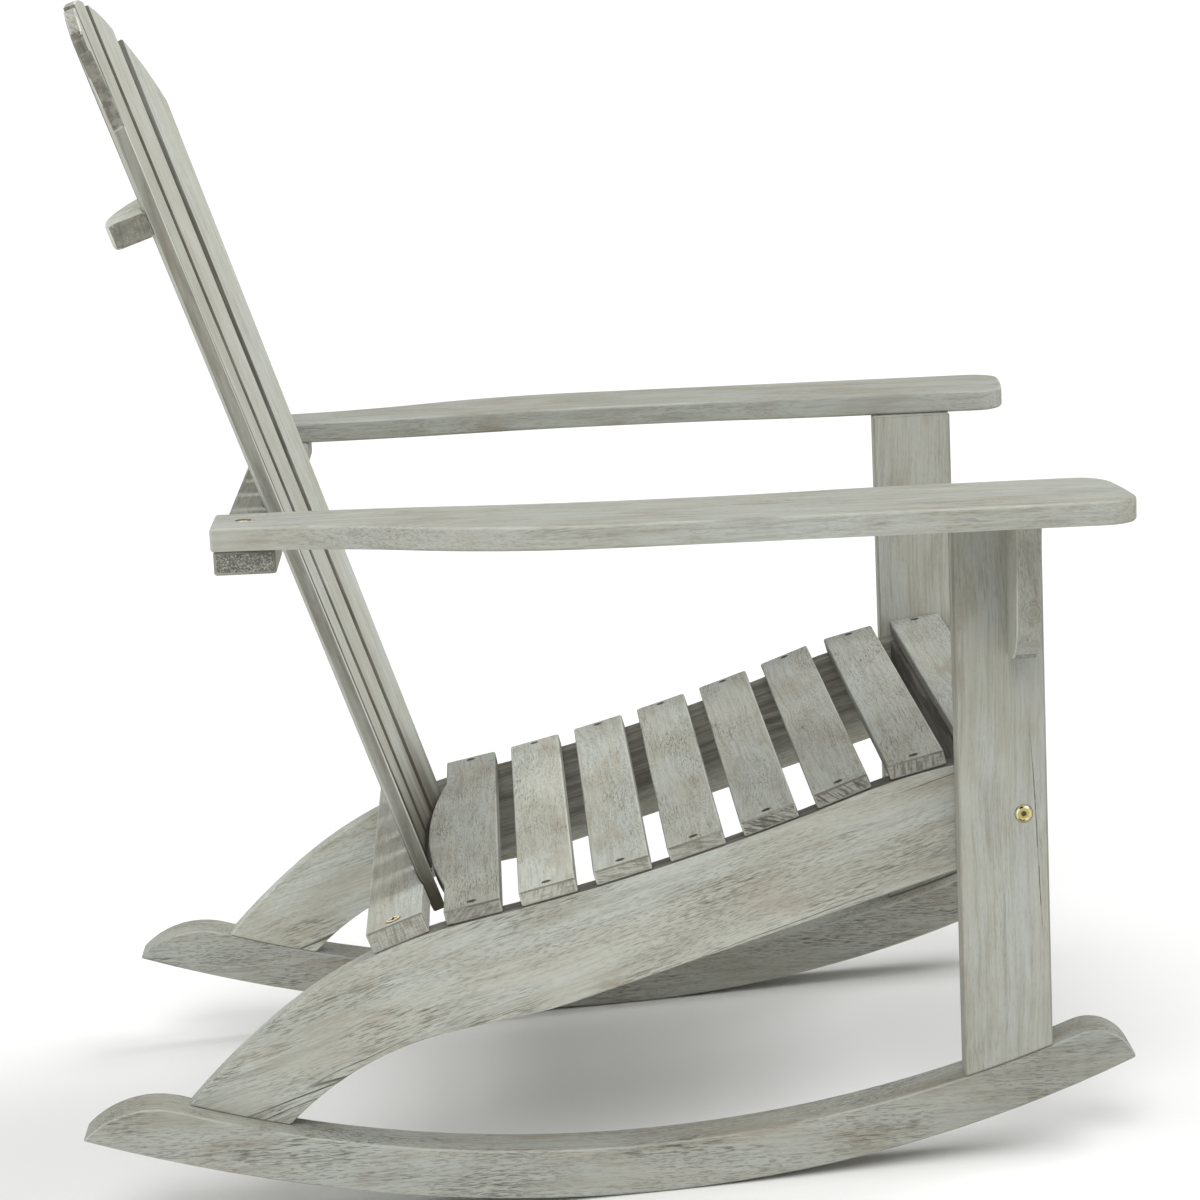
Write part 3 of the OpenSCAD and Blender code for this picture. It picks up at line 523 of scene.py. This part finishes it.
    def relief(self):
        height = self.plus(self.times(self.fine, 0.6), self.times(self.ring, 0.12))
        height = self.minus(height, self.times(self.dash, 0.9))
        height = self.minus(height, self.crack)
        height = self.minus(height, self.times(self.pore, 0.5))
        height = self.plus(height, self.times(self.times(self.lines, self.endgrain), 0.8))
        rough_end = self.times(self.times(self.mottle, self.endgrain), 1.5 * self.rough_paint)
        return self.bump(self.plus(height, rough_end), WOOD_BUMP, WOOD_RELIEF)

    def finished(self):
        color = self.wash()
        for layer in (self.rings, self.pores, self.cracks, self.knots, self.worn_wood, self.end_grain,
                      self.arrises, self.painted_hidden_shade, self.dark_feet_and_bore_shade, self.shade):
            color = layer(color)
        rough = self.band(self.fine, 0.3, 0.7, 0.66, 0.84)
        return self.surface(color, rough, self.relief(), specular=0.30)


class Metal(Tree):
    """A fastener's head with a raised rim, specks of dirt, a painted shadow round its edge, and painted
    shade in its socket, slots and down its shank.
    """

    def __init__(self, name, metal, ring):
        super().__init__(name)
        self.base, self.dark, self.hollow = (rgb(*c) for c in metal[:3])
        self.rough, self.metallic = metal[3:]
        self.ring = ring
        self.spot = self.attr("spot", "Vector")
        self.far = self.length(self.spot)
        self.sx, self.sy, self.sz = self.split(self.spot)
        inner, outer = ring
        mid, half = (inner + outer) / 2, (outer - inner) / 2
        self.rim = self.band(self.math("ABSOLUTE", self.minus(self.far, mid)), half, 0.2 * half)
        self.speck = self.noise(self.scaled(self.spot, SPECK_CELLS), 3.0, 0.7)

    def head(self):
        inner, outer = self.ring
        color = self.mix(self.band(self.speck, 0.48, 0.72, 0.0, 0.5), self.base, self.dark)
        color = self.mix(self.band(self.far, inner * 1.02, inner * 0.92, 0.0, 0.75), color, self.hollow)
        # a painted shadow in the gap round the head's edge
        return self.mix(self.band(self.far, outer * 0.97, outer * 1.02, 0.0, 0.8), color, self.dark)

    # the cross slot is painted dark as shade, over the real slots
    def cross_slot(self, color, half):
        rest = self.minus(self.times(self.far, self.far), self.times(self.sx, self.sx))
        level = self.math("SQRT", self.math("MAXIMUM", rest, 0.0))
        arms = self.math("MINIMUM", self.math("ABSOLUTE", self.sx), level)
        start, stop = (share * self.ring[1] for share in SLOT_REACH)
        share = self.times(self.band(arms, half, half * 0.6), self.band(self.far, start, stop))
        return self.mix(share, color, colour("bore"))

    def reflections(self, color, glints):
        around = self.math("ARCTAN2", self.sz, self.times(self.sy, -1.0))
        for place, width, shine in glints:
            turned = self.math("COSINE", self.minus(around, math.radians(place)))
            lobe = self.band(turned, math.cos(math.radians(width)), math.cos(math.radians(width * 0.4)))
            color = self.mix(self.times(lobe, self.rim), color, rgb(*shine))
        return color

    def finished(self, glints=(), slot=0.0):
        color = self.head()
        if slot:
            color = self.cross_slot(color, slot)
        color = self.reflections(color, glints)
        # painted shade down the socket and the shank
        color = self.mix(self.band(self.attr("sunk"), *SUNK_EDGE, 0.0, 0.9), color, colour("bore"))
        brush = self.noise(self.scaled(self.spot, BRUSH_CELLS), 2.0)
        wear = self.band(brush, 0.35, 0.65, self.rough - 0.08, self.rough + 0.12)
        height = self.plus(self.rim, self.times(self.speck, 0.06))
        return self.surface(color, wear, self.bump(height, 1.0, METAL_RELIEF), metallic=self.metallic)


def loose_solids(bm):
    """The places of the vertices of each loose solid."""
    seen = set()
    for start in bm.verts:
        if start in seen:
            continue
        seen.add(start)
        solid, todo = [], [start]
        while todo:
            vert = todo.pop()
            solid.append(vert.co.copy())
            for edge in vert.link_edges:
                other = edge.other_vert(vert)
                if other not in seen:
                    seen.add(other)
                    todo.append(other)
        yield solid


def axis_of(solid):
    """(middle, direction, half length, radius) of a long round solid."""
    points = np.array(solid)
    mid = points.mean(0)
    _, _, directions = np.linalg.svd(points - mid, full_matrices=False)
    direction = directions[0]
    along = (points - mid) @ direction
    mid = mid + direction * (along.max() + along.min()) / 2
    along = (points - mid) @ direction
    off = np.linalg.norm((points - mid) - np.outer(along, direction), axis=1)
    return mid, direction, np.abs(along).max(), off.max()


def fastener_axes():
    found = []
    for name, slot in slots.items():
        if slot.startswith("wood"):
            continue
        bm = bmesh.new()
        bm.from_mesh(nodes[name].data)
        bmesh.ops.remove_doubles(bm, verts=bm.verts, dist=METAL_WELD)
        found += [axis_of(solid) for solid in loose_solids(bm)]
        bm.free()
    return found


def off_axis(place, axis):
    """How far a place is along a fastener's axis from its middle, and its offset from the axis."""
    mid, direction, _, _ = axis
    gap = np.array(place) - mid
    along = float(gap @ direction)
    return along, gap - along * direction


def reach(place, axis):
    """Distance of a place from the fastener's axis line, counted past its ends too."""
    along, side = off_axis(place, axis)
    return float(np.linalg.norm(side)) + max(0.0, abs(along) - axis[2])


def near_fastener(place, axes):
    for axis in axes:
        _, _, half, radius = axis
        along, side = off_axis(place, axis)
        if abs(along) < half + BORE_DEPTH and np.linalg.norm(side) < radius + BORE_ROOM:
            return True
    return False


def board_axes(mesh, name):
    """Middle of a board and its directions: along the grain, across the face, through the thickness."""
    centres = np.array([p.center for p in mesh.polygons])
    areas = np.array([p.area for p in mesh.polygons])
    mid = (centres * areas[:, None]).sum(0) / areas.sum()
    weighted = (centres - mid) * np.sqrt(areas)[:, None]
    _, _, directions = np.linalg.svd(weighted, full_matrices=False)
    along, across = Vector(directions[0]), Vector(directions[1])
    if name.startswith(("rail", "rocker", "leg")):
        along.x = 0.0
        along.normalize()
    elif name.startswith(("seat", "arm_brace", "upper", "lower", "apron")):
        along = Vector((1, 0, 0))
    elif name.startswith("corbel"):
        along = Vector(CORBEL_GRAIN).normalized()
        across = Vector((1, 0, 0))
    if max(along, key=abs) < 0:
        along = -along
    across = (across - along * across.dot(along)).normalized()
    return Vector(mid), along, across, along.cross(across)


def hidden_shade_share(name, at, normal):
    """How much painted shade a face gets: 0 for an outer face, 1 deep under the seat."""
    group = name.split("_")[0]
    sideways = abs(normal.x)
    inward = -normal.x * math.copysign(1.0, at.x)
    if group == "apron":
        return APRON_ALL
    if group == "rail" and inward > RAIL_COS:
        return RAIL_INSIDE
    if group == "rail" and normal.z > RAIL_COS:
        return RAIL_TOP
    if group == "seat" and normal.z < -SEAT_BELOW_COS:
        return SEAT_BELOW
    if group == "seat" and abs(normal.y) > SEAT_SIDE_COS:
        return SEAT_SIDE
    if group == "upper" and sideways > BRACE_END_COS:
        return BRACE_END
    if group == "back" and at.z > HEAD_Z and normal.z > HEAD_LIGHT_COS:
        return 0.0
    if group == "back" and sideways > HEAD_SIDE_COS and normal.z > HEAD_UP_COS:
        return SLAT_HEAD
    if group == "back" and sideways > SLAT_SIDE_COS:
        outer = {"back_slat_1": -1.0, "back_slat_5": 1.0}.get(name, 0.0)
        return SLAT_OUTER if outer * normal.x > 0 else SLAT_GAP
    return 0.0


def end_share(name, face, square, is_rounded):
    """How much end grain a face shows."""
    if is_rounded or square < END_COS:
        return 0.0
    return ARM_TIP_END if name in ARMS and face.normal.y < 0 else 1.0


def rim_share(name, face, square, is_rounded):
    """How dark a rounding around a board's end is; on a rounding that looks down this is partly painted
    shade.
    """
    if name.startswith("leg") and is_rounded:
        return RIM_LEG
    if not (name.startswith(RIMMED) and is_rounded and square > RIM_COS):
        return 0.0
    if face.normal.z > RIM_COS_UP:
        return RIM_UP
    if face.normal.z < -RIM_COS_UP:
        return RIM_DOWN_SHADE
    return RIM_BRACE if name == "arm_brace" else RIM_SIDE


def bow_tip(bm, along):
    """Bow an arm's front end back towards its inner corner; along points to the arm's rear."""
    front = min(v.co.dot(along) for v in bm.verts)
    ends = [e for e in bm.edges if all(v.co.dot(along) < front + TIP_EDGE_DEPTH for v in e.verts)
            and abs(e.verts[0].co.x - e.verts[1].co.x) > TIP_EDGE_WIDTH]
    bmesh.ops.subdivide_edges(bm, edges=ends, cuts=TIP_CUTS)
    tip = [(v, v.co.dot(along) - front) for v in bm.verts if v.co.dot(along) < front + TIP_LENGTH]
    widths = [abs(v.co.x) for v, _ in tip]
    inner, outer = min(widths), max(widths)
    for v, back in tip:
        share = (outer - abs(v.co.x)) / (outer - inner)
        v.co += along * TIP_BACK * share ** 2 * (1.0 - back / TIP_LENGTH)


def round_arrises(bm, size, axes):
    """Round a board's sharp edges, but not those of its bores; returns the new faces."""
    sharp = math.radians(SHARP_DEG)
    picked = []
    for e in bm.edges:
        if len(e.link_faces) != 2 or e.calc_face_angle(0.0) < sharp:
            continue
        if all(near_fastener(v.co, axes) for v in e.verts):
            continue
        picked.append(e)
    made = bmesh.ops.bevel(bm, geom=picked, offset=size, offset_type="OFFSET", segments=ARRIS_STEPS,
                           profile=0.5, affect="EDGES", clamp_overlap=False)
    return set(made["faces"])


def face_marks(bm, name, rounded, along, axes):
    """What each face of a board tells its material."""
    marks = {key: [] for key in ("endgrain", "rim", "hidden_shade", "bore", "tone")}
    bore = LOOKS[name.split("_")[0]]["bore"]
    for f in bm.faces:
        middle = f.calc_center_median()
        square = abs(f.normal.dot(along))
        in_bore = all(near_fastener(c, axes) for c in [middle] + [v.co for v in f.verts])
        is_corbel_rear = name in CORBELS and f.normal.y > CORBEL_REAR_COS
        marks["endgrain"].append(end_share(name, f, square, f in rounded))
        marks["rim"].append(rim_share(name, f, square, f in rounded))
        # painted shade where a face lies in shade
        marks["hidden_shade"].append(hidden_shade_share(name, middle, f.normal))
        marks["bore"].append(bore if in_bore else 0.0)
        marks["tone"].append(CORBEL_REAR_PAINTED_LIGHT if is_corbel_rear else 1.0)
    return marks


def place_marks(name, places, mid, across):
    """What a board's vertices tell its material about where they are."""
    group = name.split("_")[0]
    upward = math.copysign(1.0, across.z)
    return {
        "up": [p.z for p in places],
        "front_shade": [p.y if name in FRONT_SHADED else 0.0 for p in places],
        "behind": [p.y if group == "rail" else 0.0 for p in places],
        "above": [upward * (p - mid).dot(across) if group == "rail" else FAR for p in places],
        "foot": [p.z - FOOT_Z if group == "back" else FAR for p in places],
        "rift": [p.y - RIFT_Y - RIFT_SLOPE * (p.z - RIFT_Z) if group == "leg" else FAR for p in places],
    }


def write_numbers(mesh, domain, marks):
    for key, numbers in marks.items():
        mesh.attributes.new(key, "FLOAT", domain).data.foreach_set("value", numbers)


def write_vectors(mesh, key, vectors):
    flat = [c for v in vectors for c in v]
    mesh.attributes.new(key, "FLOAT_VECTOR", "POINT").data.foreach_set("vector", flat)


def make_board(name, material, axes, rng):
    cad_mesh = nodes[name].data
    group = name.split("_")[0]
    style = LOOKS[group]
    mid, along, across, through = board_axes(cad_mesh, name)
    bm = bmesh.new()
    bm.from_mesh(cad_mesh)
    bmesh.ops.remove_doubles(bm, verts=bm.verts, dist=WELD)
    bmesh.ops.dissolve_degenerate(bm, edges=bm.edges, dist=WELD)
    bmesh.ops.dissolve_limit(bm, angle_limit=math.radians(FLAT_DEG), verts=bm.verts, edges=bm.edges)
    if name in ARMS:
        bow_tip(bm, along * math.copysign(1.0, along.y))
        bm.normal_update()
    rounded = round_arrises(bm, style["arris"], axes)
    bm.normal_update()
    arris = [style["rubbed"] if all(f in rounded for f in v.link_faces) else 0.0 for v in bm.verts]
    on_faces = face_marks(bm, name, rounded, along, axes)
    for f in bm.faces:
        f.smooth = True
    mesh = bpy.data.meshes.new("wood_" + name)
    bm.to_mesh(mesh)
    bm.free()

    shift = Vector((rng.uniform(0, 9), rng.uniform(-0.5, 0.5), rng.uniform(-0.3, 0.3)))
    tone = style["tone"] * NODE_TONE.get(name, 1.0) + rng.uniform(-TONE_SPREAD, TONE_SPREAD)
    kind = rng.random()
    if group == "seat":
        tone *= SEAT_TONE[int(name[-1]) - 1]
    on_faces["tone"] = [tone * lift for lift in on_faces["tone"]]
    count = len(mesh.vertices)
    places = [v.co.copy() for v in mesh.vertices]
    on_points = place_marks(name, places, mid, across)
    on_points["arris"] = arris
    on_points["kind"] = [END_TURN.get(group, kind)] * count
    on_points["coarse"] = [style["coarse"]] * count
    on_points["cracked"] = [float(group in CRACKED)] * count
    write_numbers(mesh, "FACE", on_faces)
    write_numbers(mesh, "POINT", on_points)
    write_vectors(mesh, "grain", [((p - mid).dot(along) + shift.x, (p - mid).dot(across) + shift.y,
                                   (p - mid).dot(through) + shift.z) for p in places])
    write_vectors(mesh, "knot", [(0.0, p.y - KNOT_Y, p.z - KNOT_Z) if name in CORBELS else (FAR, FAR, FAR)
                                 for p in places])
    mesh.set_sharp_from_angle(angle=math.radians(WOOD_SMOOTH_DEG))
    mesh.materials.append(material)
    obj = add_object("wood_" + name, mesh)
    even = obj.modifiers.new("even", "WEIGHTED_NORMAL")
    even.keep_sharp = True
    even.weight = NORMAL_WEIGHT
    stand_in(obj, name)


def make_fastener(name, material, axes, lift):
    """Copy of a fastener node with rounded edges; lift raises the heads in their recesses."""
    bm = bmesh.new()
    bm.from_mesh(nodes[name].data)
    bmesh.ops.remove_doubles(bm, verts=bm.verts, dist=METAL_WELD)
    bmesh.ops.dissolve_limit(bm, angle_limit=math.radians(FLAT_DEG), verts=bm.verts, edges=bm.edges)
    turn = math.radians(METAL_SHARP_DEG)
    sharp = [e for e in bm.edges if len(e.link_faces) == 2 and e.calc_face_angle(0.0) > turn]
    bmesh.ops.bevel(bm, geom=sharp, offset=METAL_ROUND, offset_type="OFFSET", segments=METAL_STEPS,
                    profile=0.5, affect="EDGES", clamp_overlap=True)
    spots, sunk = [], []
    for v in bm.verts:
        nearest = min(axes, key=lambda axis: reach(v.co, axis))
        along, side = off_axis(v.co, nearest)
        _, direction, half, _ = nearest
        spots.append(side)
        sunk.append(half - abs(along))
        if lift and abs(along) > half - 2 * lift:
            v.co += Vector(direction) * math.copysign(lift, along)
    for f in bm.faces:
        f.smooth = True
    mesh = bpy.data.meshes.new("metal_" + name)
    bm.to_mesh(mesh)
    bm.free()
    write_vectors(mesh, "spot", spots)
    write_numbers(mesh, "POINT", {"sunk": sunk})
    mesh.set_sharp_from_angle(angle=math.radians(METAL_SMOOTH_DEG))
    mesh.materials.append(material)
    stand_in(add_object("metal_" + name, mesh), name)


def make_camera():
    turn, dip, roll = (math.radians(v) for v in (CAM_TURN, CAM_DIP, CAM_ROLL))
    ahead = Vector((math.cos(turn) * math.cos(dip), math.sin(turn) * math.cos(dip), -math.sin(dip)))
    level = ahead.cross(Vector((0, 0, 1))).normalized()
    rise = level.cross(ahead)
    right = level * math.cos(roll) - rise * math.sin(roll)
    up = level * math.sin(roll) + rise * math.cos(roll)
    cam = add_object("camera", bpy.data.cameras.new("camera"))
    cam.matrix_world = Matrix.Translation(CAM_AT) @ Matrix((right, up, -ahead)).transposed().to_4x4()
    cam.data.lens = CAM_LENS
    cam.data.sensor_width = CAM_SENSOR
    cam.data.shift_x, cam.data.shift_y = CAM_SHIFT
    cam.data.clip_start, cam.data.clip_end = CAM_CLIP
    bpy.context.scene.camera = cam


def floor_ring(bm, radius):
    """A circle of the floor, at the height that the cove has there."""
    rise = COVE_RISE * (max(0.0, radius - COVE_START) / COVE_START) ** 2
    turns = [i * math.tau / FLOOR_SIDES for i in range(FLOOR_SIDES)]
    return [bm.verts.new((radius * math.cos(a), radius * math.sin(a), rise)) for a in turns]


def make_floor():
    bm = bmesh.new()
    rings = [floor_ring(bm, radius) for radius in FLOOR_RADII]
    bm.faces.new(rings[0])
    for low, high in zip(rings, rings[1:]):
        for i in range(FLOOR_SIDES):
            k = (i + 1) % FLOOR_SIDES
            bm.faces.new((low[i], high[i], high[k], low[k]))
    for f in bm.faces:
        f.smooth = True
    mesh = bpy.data.meshes.new("floor")
    bm.to_mesh(mesh)
    bm.free()
    t = Tree("floor")
    where = t.nt.nodes.new("ShaderNodeTexCoord").outputs["Object"]
    soft = t.noise(t.scaled(where, FLOOR_CELLS), 2.0)
    pale = t.mix(soft, colour("floor_low"), colour("floor_high"))
    mesh.materials.append(t.surface(pale, 0.9, specular=0.1))
    floor = add_object("floor", mesh)
    floor.location.z = -FLOOR_DROP


def make_lights():
    world = bpy.data.worlds.new("studio")
    world.use_nodes = True
    sky = world.node_tree.nodes["Background"]
    sky.inputs["Color"].default_value = SKY
    sky.inputs["Strength"].default_value = SKY_POWER
    bpy.context.scene.world = world
    bpy.context.scene.view_settings.view_transform = "Standard"
    for name, source, spread, power in LIGHTS:
        data = bpy.data.lights.new(name, "SUN")
        data.angle = math.radians(spread)
        data.energy = power
        obj = add_object(name, data)
        obj.rotation_mode = "QUATERNION"
        obj.rotation_quaternion = (-Vector(source)).to_track_quat("-Z", "Y")


def make_boards(axes):
    rng = random.Random(SEED)
    wood = {"wood": Wood("grey_wash", 0.0).finished(), "wood_dark": Wood("grey_wash_dark", 0.9).finished()}
    for name in sorted(slots):
        if slots[name] in wood:
            make_board(name, wood[slots[name]], axes, rng)


def make_fasteners(axes):
    metals = {
        "leg_bolts": Metal("bolt_brass", BRASS, BOLT_RING).finished(glints=GLINTS),
        "cross_screws": Metal("screw_brass", SHEEN_BRASS, SCREW_RING).finished(slot=SLOT_HALF),
        "arm_screws": Metal("recessed_brass", SHEEN_BRASS, SCREW_RING).finished(),
        "seat_screws": Metal("screw_steel", STEEL, SEAT_SCREW_RING).finished(),
    }
    for name in sorted(metals):
        make_fastener(name, metals[name], axes, ARM_SCREW_LIFT if name == "arm_screws" else 0.0)


make_camera()
make_floor()
make_lights()
fasteners = fastener_axes()
make_boards(fasteners)
make_fasteners(fasteners)
